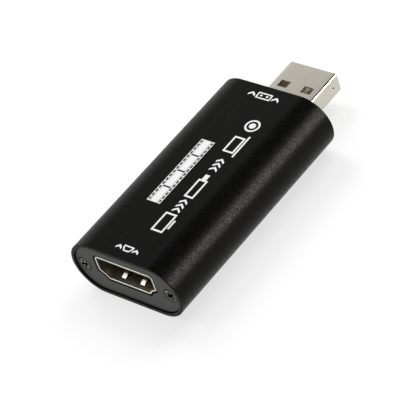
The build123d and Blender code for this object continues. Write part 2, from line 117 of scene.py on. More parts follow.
class Finish:
    """A surface finish under construction, made of shader nodes in a new material."""

    def __init__(self, name, kind="materials"):
        """Starts the nodes of a new material, or of a new world where kind is worlds."""
        self.owner = getattr(bpy.data, kind).new(name)
        self.owner.use_nodes = True
        self.tree = self.owner.node_tree
        self.tree.nodes.clear()

    def add(self, kind, settings, inputs, output=0):
        """Adds a node of this kind: its settings first, then a value or a wire for each input."""
        node = self.tree.nodes.new(kind)
        for name, value in settings.items():
            setattr(node, name, value)
        for name, value in inputs.items():
            if isinstance(value, Wire):
                self.tree.links.new(value.socket, node.inputs[name])
            else:
                node.inputs[name].default_value = value
        return Wire(self, node.outputs[output]) if node.outputs else None

    def noise(self, size, stretch=(1, 1, 1), detail=3.0):
        """Cloudy pattern whose blotches are about size across, longer where stretch is over 1."""
        place = self.add("ShaderNodeTexCoord", {}, {}, "Object")
        scale = [1 / (size * share) for share in stretch]
        place = self.add("ShaderNodeMapping", {}, {"Vector": place, "Scale": scale})
        settings = {"noise_dimensions": "3D"}
        return self.add(
            "ShaderNodeTexNoise", settings, {"Vector": place, "Scale": 1.0, "Detail": detail}
        )

    def speckle(self, size):
        """A level of its own, from 0 to 1, for each speck of about this size."""
        place = self.add("ShaderNodeTexCoord", {}, {}, "Object")
        inputs = {"Vector": place, "Scale": 1 / size}
        specks = self.add("ShaderNodeTexVoronoi", {"voronoi_dimensions": "3D"}, inputs, "Color")
        return self.add("ShaderNodeSeparateColor", {}, {0: specks})

    def blend(self, share, first, second):
        """Colour that goes from first to second as share goes from 0 to 1."""
        settings = {"data_type": "RGBA"}
        return self.add("ShaderNodeMix", settings, {0: share, 6: first, 7: second}, 2)

    def relief(self, height, depth):
        """Bumps of the given depth in metres, where height runs from 0 to 1."""
        return self.add("ShaderNodeBump", {}, {"Height": height, "Strength": 1.0, "Distance": depth})

    def number(self, name):
        """The number that the piece's vertices carry under this name."""
        return self.add("ShaderNodeAttribute", {"attribute_name": name}, {}, "Fac")

    def surface(self, **inputs):
        """Closes the finish with its one surface shader and returns the material."""
        sockets = {}
        for name, value in inputs.items():
            socket = name.replace("_", " ").title().replace("Ior", "IOR")
            sockets[socket] = value
        shader = self.add("ShaderNodeBsdfPrincipled", {}, sockets)
        self.add("ShaderNodeOutputMaterial", {}, {"Surface": shader})
        return self.owner


def grey(value):
    """A neutral colour, opaque."""
    return (value, value, value, 1)


def coat(material, *nodes):
    """Gives the pieces that come from the part's own model their finish."""
    for name in nodes:
        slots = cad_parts[name].data.materials
        slots.clear()
        slots.append(material)


lacquer = Finish("lacquered_board")
weave = lacquer.noise(weave_size, detail=1.0)
tracks = lacquer.noise(track_size, stretch=(1, 3, 1), detail=0.0) > 0.52
board_colour = lacquer.blend(tracks, (0.010, 0.045, 0.022, 1), (0.016, 0.085, 0.040, 1))
board_finish = lacquer.surface(
    base_color=board_colour,
    roughness=0.28 + 0.16 * weave,
    normal=lacquer.relief(tracks + 0.3 * weave, track_height),
)
coat(board_finish, "circuit_board")

# Small parts on the board
# Moulded chips with tinned leads, ceramic capacitors and resistors with tinned ends,
# ferrite beads, and a crystal in a metal can. All are soldered flat on the board.
epoxy = Finish("moulded_epoxy")
epoxy_grain_size = 0.08 * mm
epoxy_grain_height = 0.006 * mm
epoxy_grain = epoxy.noise(epoxy_grain_size)
chip_finish = epoxy.surface(
    base_color=epoxy.blend(epoxy_grain, grey(0.012), grey(0.024)),
    roughness=0.55 + 0.2 * epoxy_grain,
    normal=epoxy.relief(epoxy_grain, epoxy_grain_height),
)
coat(chip_finish, "capture_chip", "memory_chip", "voltage_regulators", "surge_protectors")

tin = Finish("tinned_metal")
tin_cloud_size = 0.3 * mm
tin_cloud = tin.noise(tin_cloud_size)
tin_finish = tin.surface(
    base_color=tin.blend(tin_cloud, (0.50, 0.50, 0.49, 1), (0.66, 0.66, 0.64, 1)),
    metallic=1.0,
    roughness=0.26 + 0.22 * tin_cloud,
)
coat(tin_finish, "capture_chip_leads", "memory_chip_leads", "regulator_leads")
coat(tin_finish, "component_terminals", "clock_crystal")

clay = Finish("fired_ceramic")
clay_grain_size = 0.12 * mm
clay_grain = clay.noise(clay_grain_size)
clay_finish = clay.surface(
    base_color=clay.blend(clay_grain, (0.23, 0.15, 0.09, 1), (0.32, 0.22, 0.14, 1)),
    roughness=0.5 + 0.15 * clay_grain,
)
coat(clay_finish, "capacitors")

glaze = Finish("dark_glaze")
glaze_grain_size = 0.15 * mm
glaze_grain = glaze.noise(glaze_grain_size)
glaze_finish = glaze.surface(
    base_color=glaze.blend(glaze_grain, grey(0.018), grey(0.045)),
    roughness=0.3 + 0.2 * glaze_grain,
)
coat(glaze_finish, "resistors", "ferrite_beads")

# Solder
# Bright cones of solder under the board, one round each leg of the two shells, left
# there when the legs were soldered into the board's holes.
solder = Finish("solder")
solder_cloud_size = 0.25 * mm
solder_ripple_height = 0.02 * mm
solder_cloud = solder.noise(solder_cloud_size)
solder_finish = solder.surface(
    base_color=solder.blend(solder_cloud, (0.52, 0.52, 0.52, 1), (0.70, 0.70, 0.69, 1)),
    metallic=1.0,
    roughness=0.2 + 0.2 * solder_cloud,
    normal=solder.relief(solder_cloud, solder_ripple_height),
)
coat(solder_finish, "socket_solder", "plug_solder")

# Contact strips
# Punched from spring alloy and moulded into both insulators: plated with gold in the
# socket and with nickel in the plug.
plating_cloud_size = 0.4 * mm
gold = Finish("gold_plate")
gold_cloud = gold.noise(plating_cloud_size)
gold_finish = gold.surface(
    base_color=gold.blend(gold_cloud, (0.62, 0.45, 0.20, 1), (0.78, 0.60, 0.30, 1)),
    metallic=1.0,
    roughness=0.2 + 0.16 * gold_cloud,
)
coat(gold_finish, "socket_upper_contacts", "socket_lower_contacts")

bright = Finish("nickel_strip")
bright_cloud = bright.noise(plating_cloud_size)
strip_finish = bright.surface(
    base_color=bright.blend(bright_cloud, (0.66, 0.63, 0.57, 1), (0.74, 0.71, 0.66, 1)),
    metallic=1.0,
    roughness=0.2 + 0.12 * bright_cloud,
)
coat(strip_finish, "plug_contacts")

# Insulators
# Glass-filled nylon, moulded round the contact strips, with a faint mould grain:
# black in the socket and natural ivory in the plug.
mould_grain_size = 0.1 * mm
mould_grain_height = 0.008 * mm
nylon = Finish("black_nylon")
nylon_grain = nylon.noise(mould_grain_size)
nylon_finish = nylon.surface(
    base_color=nylon.blend(nylon_grain, (0.026, 0.015, 0.009, 1), (0.052, 0.031, 0.019, 1)),
    roughness=0.38 + 0.2 * nylon_grain,
    normal=nylon.relief(nylon_grain, mould_grain_height),
)
coat(nylon_finish, "socket_insulator")

ivory = Finish("ivory_nylon")
ivory_grain = ivory.noise(mould_grain_size)
ivory_finish = ivory.surface(
    base_color=ivory.blend(ivory_grain, (0.64, 0.56, 0.47, 1), (0.76, 0.68, 0.58, 1)),
    roughness=0.42 + 0.16 * ivory_grain,
    normal=ivory.relief(ivory_grain, mould_grain_height),
)
coat(ivory_finish, "plug_insulator")

# Socket shell
# Thin sheet steel, folded into the socket's outline and plated bright. Two spring
# fingers are punched in its floor and two in its roof, and bent into the mouth.
same_place = 0.001 * mm


def runs_lengthwise(edge):
    """True for an edge that doesn't lie square to the part's length."""
    return abs(edge.verts[0].co.y - edge.verts[1].co.y) > same_place


def bevelled(mesh, geometry, width, steps, kind="EDGES"):
    """Rounds edges or vertices by width, in steps."""
    bmesh.ops.bevel(
        mesh,
        geom=geometry,
        offset=width,
        offset_type="OFFSET",
        segments=steps,
        profile=0.5,
        affect=kind,
        material=-1,
        clamp_overlap=True,
    )


def cut_across(mesh, axis, *places):
    """Cuts the whole mesh square to an axis (0, 1, 2 for X, Y, Z) at each place."""
    for place in places:
        point = [0, 0, 0]
        normal = [0, 0, 0]
        point[axis] = place
        normal[axis] = 1
        everything = mesh.verts[:] + mesh.edges[:] + mesh.faces[:]
        bmesh.ops.bisect_plane(
            mesh, geom=everything, dist=same_place / 10, plane_co=point, plane_no=normal
        )


def block(mesh, corner, opposite):
    """Adds a plain block between two opposite corners."""
    middle = (Vector(corner) + Vector(opposite)) / 2
    size = [abs(length) for length in Vector(opposite) - Vector(corner)]
    place = Matrix.Translation(middle) @ Matrix.Diagonal((*size, 1))
    bmesh.ops.create_cube(mesh, size=1.0, matrix=place)


def moved_on(mesh, extruded, step):
    """Moves the new vertices of an extrusion on by a step and returns them."""
    new = [v for v in extruded["geom"] if isinstance(v, bmesh.types.BMVert)]
    bmesh.ops.translate(mesh, vec=step, verts=new)
    return new


def walled(mesh, thickness):
    """Gives open sheet its thickness, inwards."""
    bmesh.ops.recalc_face_normals(mesh, faces=mesh.faces)
    bmesh.ops.solidify(mesh, geom=mesh.faces[:], thickness=thickness)


def numbered(mesh, name, share_at):
    """Gives each vertex a number by its place, for the finish to read under this name."""
    layer = mesh.verts.layers.float.new(name)
    for vert in mesh.verts:
        vert[layer] = share_at(vert.co)


def finished(name, mesh, material, slot, *replaced, lip=0, joined=False):
    """Makes the mesh a shown piece, smooth but for its creases, its sharp lips rounded by lip.

    Where it is joined, the solids that overlap in it become one.
    """
    crease = radians(30)
    bmesh.ops.recalc_face_normals(mesh, faces=mesh.faces)
    for face in mesh.faces:
        face.smooth = True
    for edge in mesh.edges:
        edge.smooth = edge.calc_face_angle(0) < crease
    piece = bpy.data.objects.new(name, bpy.data.meshes.new(name))
    mesh.to_mesh(piece.data)
    mesh.free()
    piece.data.materials.append(material)
    bpy.context.scene.collection.objects.link(piece)
    if lip:
        rounding = piece.modifiers.new("rounded_lips", "BEVEL")
        rounding.width = lip
        rounding.segments = 2
        rounding.limit_method = "ANGLE"
        rounding.angle_limit = crease
    if joined:
        union = piece.modifiers.new("joined_solids", "BOOLEAN")
        union.operation = "UNION"
        union.operand_type = "COLLECTION"
        union.solver = "EXACT"
        union.use_self = True
    piece.modifiers.new("even_normals", "WEIGHTED_NORMAL").keep_sharp = True
    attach(piece, "root")
    if replaced:
        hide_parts(*replaced)


shell_low, shell_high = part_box("socket_shell")
socket_half = shell_high.x
socket_height = 5.6 * mm
socket_top = shell_high.z
socket_floor = socket_top - socket_height
socket_front = shell_low.y
socket_back = shell_high.y
socket_sheet = 0.3 * mm
socket_corner = 0.95 * mm
socket_fold = 0.2 * mm
shoulder_run = 1.29 * mm
shoulder_drop = 0.78 * mm
slope_run = 0.83 * mm
slope_drop = 1.02 * mm

right_side = [
    (socket_half, socket_top),
    (socket_half, socket_floor + slope_drop + shoulder_drop),
    (socket_half - shoulder_run, socket_floor + slope_drop),
    (socket_half - shoulder_run - slope_run, socket_floor),
]
left_side = [(-x, z) for x, z in reversed(right_side)]
sleeve = bmesh.new()
sleeve.faces.new([sleeve.verts.new((x, socket_front, z)) for x, z in right_side + left_side])
upper_corners = [v for v in sleeve.verts if v.co.z > socket_top - socket_corner]
bevelled(sleeve, upper_corners, socket_corner, steps=8, kind="VERTICES")
folds = [v for v in sleeve.verts if v.co.z < socket_top - 1.5 * socket_corner]
bevelled(sleeve, folds, socket_fold, steps=3, kind="VERTICES")
rim = sleeve.edges[:]
bmesh.ops.delete(sleeve, geom=sleeve.faces[:], context="FACES_ONLY")
drawn = bmesh.ops.extrude_edge_only(sleeve, edges=rim)
moved_on(sleeve, drawn, (0, socket_back - socket_front, 0))

finger_x = 2.4 * mm
finger_half = 0.525 * mm
finger_slot_gap = 0.2 * mm
finger_tip = socket_front + 1.2 * mm
finger_bend = socket_front + 2.5 * mm
finger_root = socket_front + 4.6 * mm
finger_lift = 0.7 * mm
finger_curl = 0.62 * mm
finger_bend_round = 0.45 * mm
slot_start = finger_tip - finger_slot_gap
for side in (-1, 1):
    for reach in (finger_half, finger_half + finger_slot_gap):
        cut_across(sleeve, 0, side * finger_x - reach, side * finger_x + reach)
cut_across(sleeve, 1, slot_start, finger_tip, finger_bend, finger_root)


def in_slot(place):
    """True for a place on the floor or roof beside a finger or before its tip."""
    off = abs(abs(place.x) - finger_x)
    beside = finger_half < off < finger_half + finger_slot_gap
    before = off < finger_half and place.y < finger_tip
    flat = min(abs(place.z - socket_top), abs(place.z - socket_floor)) < same_place
    return flat and slot_start < place.y < finger_root and (beside or before)


punched = [f for f in sleeve.faces if in_slot(f.calc_center_median())]
bmesh.ops.delete(sleeve, geom=punched, context="FACES")
bend_lines = []
for edge in sleeve.edges:
    middle = (edge.verts[0].co + edge.verts[1].co) / 2
    if abs(abs(middle.x) - finger_x) < finger_half / 2 and not runs_lengthwise(edge):
        inwards = 1 if middle.z < mid_height else -1
        if abs(middle.y - finger_bend) < same_place:
            bend_lines.append(edge)
            bmesh.ops.translate(sleeve, vec=(0, 0, inwards * finger_lift), verts=edge.verts)
        elif abs(middle.y - finger_tip) < same_place:
            lift = finger_lift - finger_curl
            bmesh.ops.translate(sleeve, vec=(0, 0, inwards * lift), verts=edge.verts)
bevelled(sleeve, bend_lines, finger_bend_round, steps=5)
walled(sleeve, socket_sheet)

leg_half = 0.8 * mm
front_leg = socket_front + 3.2 * mm
back_leg = socket_back - 2.1 * mm
leg_top = socket_floor + slope_drop + shoulder_drop
for side in (-1, 1):
    leg_inside = side * (socket_half - socket_sheet)
    for leg_y in (front_leg, back_leg):
        block(
            sleeve,
            (leg_inside, leg_y - leg_half, shell_low.z),
            (side * socket_half, leg_y + leg_half, leg_top),
        )

tinned = Finish("bright_tinned_steel")
tinned_cloud_size = 0.6 * mm
rolling_line_size = 0.05 * mm
rolling_line_height = 0.002 * mm
tinned_cloud = tinned.noise(tinned_cloud_size)
rolling_lines = tinned.noise(rolling_line_size, stretch=(1, 30, 1))
sleeve_finish = tinned.surface(
    base_color=tinned.blend(tinned_cloud, (0.68, 0.65, 0.56, 1), (0.80, 0.77, 0.68, 1)),
    metallic=1.0,
    roughness=0.24 + 0.14 * tinned_cloud,
    normal=tinned.relief(rolling_lines, rolling_line_height),
)
socket_lip = 0.04 * mm
finished(
    "socket_sleeve", sleeve, sleeve_finish, "socket_steel", "socket_shell", lip=socket_lip, joined=True
)

# Plug shell
# Thin sheet steel, folded to a flat box with its seam below, and plated with satin
# nickel. Latch windows are punched above and below, and a dimple in each side, the middle of each
# dimple painted dark as its shade.
plug_low, plug_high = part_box("plug_shell")
plug_half = 6.0 * mm
plug_height = 4.5 * mm
plug_top = plug_high.z
plug_floor = plug_top - plug_height
plug_back = plug_low.y
plug_tip = plug_high.y
plug_sheet = 0.3 * mm
plug_corner = 0.5 * mm
window_x = 3.0 * mm
window_half = 1.225 * mm
window_length = 1.9 * mm
window_front = plug_tip - 5.5 * mm
window_back = window_front - window_length
seam_half = 0.03 * mm
dimple_radius = 0.3 * mm
dimple_depth = 0.15 * mm
dimple_y = plug_tip - 2.1 * mm
dimple_z = (plug_top + plug_floor) / 2
# Share of each dimple's radius whose middle is painted dark as shade.
painted_shade_share = 0.8

folded = bmesh.new()
block(folded, (-plug_half, plug_back, plug_floor), (plug_half, plug_tip, plug_top))
ends = [f for f in folded.faces if abs(f.normal.y) > 0.9]
bmesh.ops.delete(folded, geom=ends, context="FACES_ONLY")
long_edges = [e for e in folded.edges if runs_lengthwise(e)]
bevelled(folded, long_edges, plug_corner, steps=8)
cut_across(folded, 1, window_back, window_front)
for side in (-1, 1):
    cut_across(folded, 0, side * window_x - window_half, side * window_x + window_half)
cut_across(folded, 0, -seam_half, seam_half)


def in_opening(place):
    """True for a place on the top or bottom that is in a window or in the seam below."""
    in_window = abs(abs(place.x) - window_x) < window_half and window_back < place.y < window_front
    flat = min(abs(place.z - plug_top), abs(place.z - plug_floor)) < same_place
    in_seam = abs(place.x) < seam_half and place.z < dimple_z
    return flat and (in_window or in_seam)


opened = [f for f in folded.faces if in_opening(f.calc_center_median())]
bmesh.ops.delete(folded, geom=opened, context="FACES")
cut_across(folded, 1, dimple_y - dimple_radius, dimple_y + dimple_radius)
cut_across(folded, 2, dimple_z - dimple_radius, dimple_z + dimple_radius)
for side in (-1, 1):
    middle = Vector((side * plug_half, dimple_y, dimple_z))
    spot = [f for f in folded.faces if (f.calc_center_median() - middle).length < same_place]
    bmesh.ops.subdivide_edges(folded, edges=spot[0].edges, cuts=9, use_grid_fill=True)
walled(folded, plug_sheet)


def from_dimple(place):
    """How far a place lies from the dimples' axis, as a share of their radius."""
    return hypot(place.y - dimple_y, place.z - dimple_z) / dimple_radius


for vert in folded.verts:
    if from_dimple(vert.co) < 1 and abs(vert.co.x) > plug_half - plug_sheet / 2:
        drop = dimple_depth * min(1, 2 - 2 * from_dimple(vert.co) ** 2)
        vert.co.x -= copysign(drop, vert.co.x)
# The middle of each dimple is marked, for the finish to paint dark as painted shade.
numbered(folded, "dimple_shade", lambda place: float(from_dimple(place) < painted_shade_share))

wing_reach = 1.4 * mm
wing_half = 0.7 * mm
wing_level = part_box("circuit_board")[1].z
first_wing = plug_back + 1.1 * mm
second_wing = plug_back + 4.1 * mm
for side in (-1, 1):
    wing_root = side * (plug_half - plug_sheet / 2)
    wing_end = side * (plug_half + wing_reach)
    wing_outline = [
        (wing_root, wing_level + plug_sheet),
        (wing_end, wing_level + plug_sheet),
        (wing_end, plug_low.z),
        (wing_end - side * plug_sheet, plug_low.z),
        (wing_end - side * plug_sheet, wing_level),
        (wing_root, wing_level),
    ]
    for wing_y in (first_wing, second_wing):
        points = [folded.verts.new((x, wing_y - wing_half, z)) for x, z in wing_outline]
        drawn = bmesh.ops.extrude_face_region(folded, geom=[folded.faces.new(points)])
        moved_on(folded, drawn, (0, 2 * wing_half, 0))

nickel = Finish("satin_nickel")
nickel_cloud_size = 2.5 * mm
nickel_scuff_size = 0.12 * mm
nickel_grain_size = 0.06 * mm
nickel_grain_height = 0.0008 * mm
nickel_cloud = nickel.noise(nickel_cloud_size)
nickel_scuffs = nickel.noise(nickel_scuff_size, stretch=(1, 25, 1))
nickel_grain = nickel.noise(nickel_grain_size)
nickel_colour = nickel.blend(nickel_cloud, (0.63, 0.60, 0.51, 1), (0.70, 0.66, 0.58, 1))
# The base colour goes dark in the middle of each dimple: painted shade.
plug_finish = nickel.surface(
    base_color=nickel.blend(nickel.number("dimple_shade"), nickel_colour, (0.04, 0.035, 0.03, 1)),
    metallic=1.0,
    roughness=0.04 + 0.06 * nickel_scuffs + 0.02 * nickel_cloud,
    normal=nickel.relief(nickel_grain + nickel_scuffs, nickel_grain_height),
)
plug_lip = 0.01 * mm
finished("plug_sleeve", folded, plug_finish, "plug_steel", "plug_shell", lip=plug_lip, joined=True)

# Tube
# Extruded aluminium of rounded section with screw channels and board ledges inside,
# cut to length, the edges of its rims rounded, then bead-blasted and anodised black.
tube_wall = 0.85 * mm
rim_round = 0.12 * mm
end_depth = 1.33 * mm
tube_half = tube_high.x
tube_radius = mid_height

tube = bmesh.new()
block(tube, tube_low, tube_high)
long_edges = [e for e in tube.edges if runs_lengthwise(e)]
bevelled(tube, long_edges, tube_radius, steps=28)
bmesh.ops.remove_doubles(tube, verts=tube.verts, dist=same_place)
caps = [f for f in tube.faces if abs(f.normal.y) > 0.9]
bmesh.ops.inset_region(tube, faces=caps, thickness=tube_wall, use_even_offset=True)
bore_rims = [e for face in caps for e in face.edges]
bmesh.ops.delete(tube, geom=caps, context="FACES_ONLY")
bmesh.ops.bridge_loops(tube, edges=bore_rims)
square_turn = radians(80)
rims = [e for e in tube.edges if not runs_lengthwise(e) and e.calc_face_angle(0) > square_turn]
bevelled(tube, rims, rim_round, steps=3)

screw_inset = 2.9 * mm
screw_x = tube_half - screw_inset
channel_radius = 0.98 * mm
boss_radius = 1.9 * mm
channel_mouth = 0.9 * mm
web_half = 1.3 * mm
inner_from = tube_low.y + end_depth
inner_to = tube_high.y - end_depth
board_low, board_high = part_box("circuit_board")
ledge_thick = 0.8 * mm
ledge_grip = 0.9 * mm
ledge_drop = mid_height - board_low.z + ledge_thick
ledge_reach = tube_half - tube_radius + sqrt(tube_radius**2 - ledge_drop**2) - tube_wall / 3
mouth_turn = 2 * channel_mouth / (channel_radius + boss_radius)
web_from = screw_x + (channel_radius + boss_radius) / 2
web_to = tube_half - tube_wall / 2
for side in (-1, 1):
    centre = Vector((side * screw_x, inner_from, mid_height))
    first_ray = Matrix.Rotation(side * mouth_turn / 2, 3, "Y") @ Vector((-side, 0, 0))
    ray = [tube.verts.new(centre + radius * first_ray) for radius in (channel_radius, boss_radius)]
    bmesh.ops.spin(
        tube,
        geom=[*ray, tube.edges.new(ray)],
        cent=centre,
        axis=(0, side, 0),
        angle=2 * pi - mouth_turn,
        steps=32,
    )
    ring = [f for f in tube.faces if all((v.co - centre).length < 1.01 * boss_radius for v in f.verts)]
    drawn = bmesh.ops.extrude_face_region(tube, geom=ring)
    moved_on(tube, drawn, (0, inner_to - inner_from, 0))
    block(
        tube,
        (side * web_from, inner_from, mid_height - web_half),
        (side * web_to, inner_to, mid_height + web_half),
    )
    block(
        tube,
        (side * (board_high.x - ledge_grip), inner_from, board_low.z - ledge_thick),
        (side * ledge_reach, inner_to, board_low.z),
    )

anodised = Finish("black_anodised_aluminium")
blast_grain_size = 0.18 * mm
blast_speck_size = 0.19 * mm
blast_height = 0.012 * mm
blast_grain = anodised.noise(blast_grain_size)
blast_speck = anodised.speckle(blast_speck_size)
tube_finish = anodised.surface(
    base_color=anodised.blend(blast_grain, grey(0.0008), grey(0.0022)),
    roughness=0.08 + 0.24 * blast_grain + 0.32 * blast_speck,
    specular_ior_level=0.105,
    specular_tint=(1.0, 0.94, 0.86, 1),
    normal=anodised.relief(blast_grain + 0.3 * blast_speck, blast_height),
)
finished("anodised_tube", tube, tube_finish, "tube_finish", "housing_tube", joined=True)

# End plates
# Milled from aluminium sheet and anodised like the tube. Each sits just inside the
# tube's rim, round the socket or the plug, and is held by two countersunk screws.
milled = Finish("black_anodised_plate")
milled_grain_size = 0.14 * mm
milled_grain_height = 0.008 * mm
milled_patch_size = 0.6 * mm
milled_grain = milled.noise(milled_grain_size, detail=2.0)
milled_patch = milled.noise(milled_patch_size)
plate_finish = milled.surface(
    base_color=milled.blend(milled_grain, grey(0.018), grey(0.026)),
    roughness=0.42 + 0.10 * milled_patch,
    specular_ior_level=0.47,
    specular_tint=(1.0, 0.95, 0.90, 1),
    normal=milled.relief(milled_grain, milled_grain_height),
)
coat(plate_finish, "input_end_plate", "output_end_plate")

# Plate screws
# Small countersunk steel screws with a cross recess, blackened, and worn bright where
# the driver turned. Two hold each plate and cut their thread in the tube's channels.
blackened = Finish("blackened_steel")
blackened_grain_size = 0.1 * mm
blackened_cloud_size = 0.46 * mm
blackened_grain = blackened.noise(blackened_grain_size)
blackened_cloud = blackened.noise(blackened_cloud_size)
driven = (blackened.number("driven") + 1.4 * blackened_cloud) > 1.25
screw_colour = blackened.blend(blackened_cloud, grey(0.02), grey(0.05))
screw_finish = blackened.surface(
    base_color=blackened.blend(driven, screw_colour, grey(0.45)),
    metallic=0.7 + 0.3 * driven,
    roughness=0.26 + 0.12 * blackened_grain,
)
head_radius = 1.52 * mm
head_edge = 0.08 * mm
head_sink = 0.05 * mm
shank_radius = 0.95 * mm
thread_depth = 0.18 * mm
thread_pitch = 0.4 * mm
thread_turns = 9
screw_point = 0.5 * mm
recess_span = 1.8 * mm
recess_arm = 0.5 * mm
recess_depth = 0.6 * mm
recess_taper_share = 0.75
worn_reach = 0.75 * head_radius
worn_depth = 0.1 * recess_depth
screw_lip = 0.03 * mm


def ring_drawn(mesh, ring, radius, drop):
    """Draws a ring of edges down by drop to a new ring of the given radius."""
    drawn = bmesh.ops.extrude_edge_only(mesh, edges=ring)
    points = moved_on(mesh, drawn, (0, 0, -drop))
    for point in points:
        spot = Vector((point.co.x, point.co.y, 0)).normalized() * radius
        point.co = (spot.x, spot.y, point.co.z)
    edges = [e for e in drawn["geom"] if isinstance(e, bmesh.types.BMEdge)]
    return [e for e in edges if all(v in points for v in e.verts)]


def plate_screw():
    """One screw, head up on the origin and its axis on Z."""
    screw = bmesh.new()
    cross = bmesh.ops.create_grid(screw, x_segments=3, y_segments=3, size=1.0)["verts"]
    for vert in cross:
        for axis in (0, 1):
            outer = abs(vert.co[axis]) > 0.5
            reach = recess_span / 2 if outer else recess_arm / 2
            vert.co[axis] = reach if vert.co[axis] > 0 else -reach
    corners = [f for f in screw.faces if min(map(abs, f.calc_center_median()[:2])) > recess_arm / 2]
    bmesh.ops.delete(screw, geom=corners, context="FACES")
    inner_rim = [e for e in screw.edges if e.is_boundary]
    recess = screw.faces[:]
    circle = bmesh.ops.create_circle(screw, segments=40, radius=head_radius)["verts"]
    outer_rim = [e for e in screw.edges if all(v in circle for v in e.verts)]
    bmesh.ops.bridge_loops(screw, edges=inner_rim + outer_rim)
    drawn = bmesh.ops.extrude_face_region(screw, geom=recess)
    bmesh.ops.delete(screw, geom=recess, context="FACES_KEEP_BOUNDARY")
    bottom = moved_on(screw, drawn, (0, 0, -recess_depth))
    bmesh.ops.scale(screw, vec=(recess_taper_share, recess_taper_share, 1), verts=bottom)
    ring = ring_drawn(screw, outer_rim, head_radius, head_edge)
    ring = ring_drawn(screw, ring, shank_radius, head_radius - shank_radius)
    for _ in range(thread_turns):
        ring = ring_drawn(screw, ring, shank_radius - thread_depth, thread_pitch / 2)
        ring = ring_drawn(screw, ring, shank_radius, thread_pitch / 2)
    ring = ring_drawn(screw, ring, shank_radius / 5, screw_point)
    bmesh.ops.holes_fill(screw, edges=ring)
    return screw


def near_recess(place, head_y):
    """One on the rim of a cross recess, for heads at this place along Y, and zero elsewhere."""
    off = hypot(abs(place.x) - screw_x, place.z - mid_height)
    return float(off < worn_reach and abs(place.y - head_y) < worn_depth)


left_turn = radians(25)
right_turn = radians(45)
for end, plate in ((-1, "input"), (1, "output")):
    head_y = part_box(f"{plate}_end_plate")[0 if end < 0 else 1].y - end * head_sink
    pair = bmesh.new()
    for side, turn in ((-1, left_turn), (1, right_turn)):
        one = plate_screw()
        seat = Matrix.Translation((side * screw_x, head_y, mid_height))
        one.transform(seat @ Matrix.Rotation(-end * pi / 2, 4, "X") @ Matrix.Rotation(turn, 4, "Z"))
        mesh = bpy.data.meshes.new("screw")
        one.to_mesh(mesh)
        pair.from_mesh(mesh)
        one.free()
        bpy.data.meshes.remove(mesh)
    numbered(pair, "driven", lambda place: near_recess(place, head_y))
    node = f"{plate}_plate_screws"
    finished(f"{plate}_screws", pair, screw_finish, "screw_finish", node, lip=screw_lip)

# Prints on the top
# White ink, screened on after anodising: a socket between arrow heads that point in,
# a plug between arrow heads that point out, a strip of film, and a row of signs for
# the picture's way from a monitor to a computer.
ink = Finish("white_ink")
ink_patch_size = 0.2 * mm
ink_patch = ink.noise(ink_patch_size)
ink_finish = ink.surface(
    base_color=ink.blend(ink_patch, grey(0.70), grey(0.80)),
    roughness=0.55 + 0.1 * ink_patch,
)
ink_sunk = 0.01 * mm
ink_thick = 0.015 * mm


def corners_of(u, v, length, width):
    """The corners of a bar with its middle at u, v."""
    signs = ((-1, -1), (1, -1), (1, 1), (-1, 1))
    return [(u + along * length / 2, v + across * width / 2) for along, across in signs]


def circle_of(u, v, radius, steps):
    """Places round a circle with its middle at u, v."""
    turns = [2 * pi * step / steps for step in range(steps)]
    return [(u + radius * cos(turn), v + radius * sin(turn)) for turn in turns]


class Print:
    """Flat signs in ink on the tube's top, drawn in sizes along (u) and across (v) its length."""

    def __init__(self, centre_x, centre_y):
        """Starts a print whose signs are placed from this spot on the top."""
        self.mesh = bmesh.new()
        spot = Vector((centre_x, centre_y, tube_high.z - ink_sunk))
        self.place = Matrix.Translation(spot) @ Matrix.Rotation(pi / 2, 4, "Z")

    def patch(self, *corners):
        """A flat patch of ink with these corners."""
        points = [self.mesh.verts.new(self.place @ Vector((u, v, 0))) for u, v in corners]
        face = self.mesh.faces.new(points)
        face.normal_update()
        return face

    def bar(self, u, v, length, width):
        """A plain bar with its middle at u, v."""
        self.patch(*corners_of(u, v, length, width))

    def outline(self, line, *corners):
        """The outline of a patch, drawn inside it with a line of this width."""
        face = self.patch(*corners)
        bmesh.ops.inset_region(
            self.mesh, faces=[face], thickness=line, use_even_offset=True, use_boundary=True
        )
        bmesh.ops.delete(self.mesh, geom=[face], context="FACES_ONLY")

    def frame(self, u, v, length, width, line):
        """The outline of a bar with its middle at u, v."""
        self.outline(line, *corners_of(u, v, length, width))

    def arrow_head(self, u, v, length, width, line):
        """An open arrow head along u, its point at u, v."""
        back = u - length
        half = width / 2
        slant = 1.3 * line
        for up in (-1, 1):
            self.patch(
                (u, v), (back, v + up * half), (back - slant, v + up * half), (u - slant, v)
            )

    def printed(self, name):
        """Gives the ink its thickness and makes it a piece of the top."""
        drawn = bmesh.ops.extrude_face_region(self.mesh, geom=self.mesh.faces[:])
        moved_on(self.mesh, drawn, (0, 0, ink_sunk + ink_thick))
        finished(name, self.mesh, ink_finish, None, joined=True)


bold_line = 0.42 * mm
fine_line = 0.32 * mm

input_mark_x = 0.75 * mm
input_mark_y = tube_low.y + 2.75 * mm
input_arrow_u = 0.5 * mm
input_arrow_v = 2.1 * mm
input_arrow_length = 0.6 * mm
input_arrow_width = 1.4 * mm
socket_sign_half = 1.25 * mm
socket_sign_front = 0.75 * mm
socket_sign_step = 0.55 * mm
input_mark = Print(input_mark_x, input_mark_y)
for v in (-input_arrow_v, input_arrow_v):
    input_mark.arrow_head(input_arrow_u, v, input_arrow_length, input_arrow_width, bold_line)
input_mark.outline(
    fine_line,
    (socket_sign_front, socket_sign_half),
    (socket_sign_front - socket_sign_step, socket_sign_half),
    (-socket_sign_front, socket_sign_half - socket_sign_step),
    (-socket_sign_front, socket_sign_step - socket_sign_half),
    (socket_sign_front - socket_sign_step, -socket_sign_half),
    (socket_sign_front, -socket_sign_half),
)
input_mark.printed("input_mark")

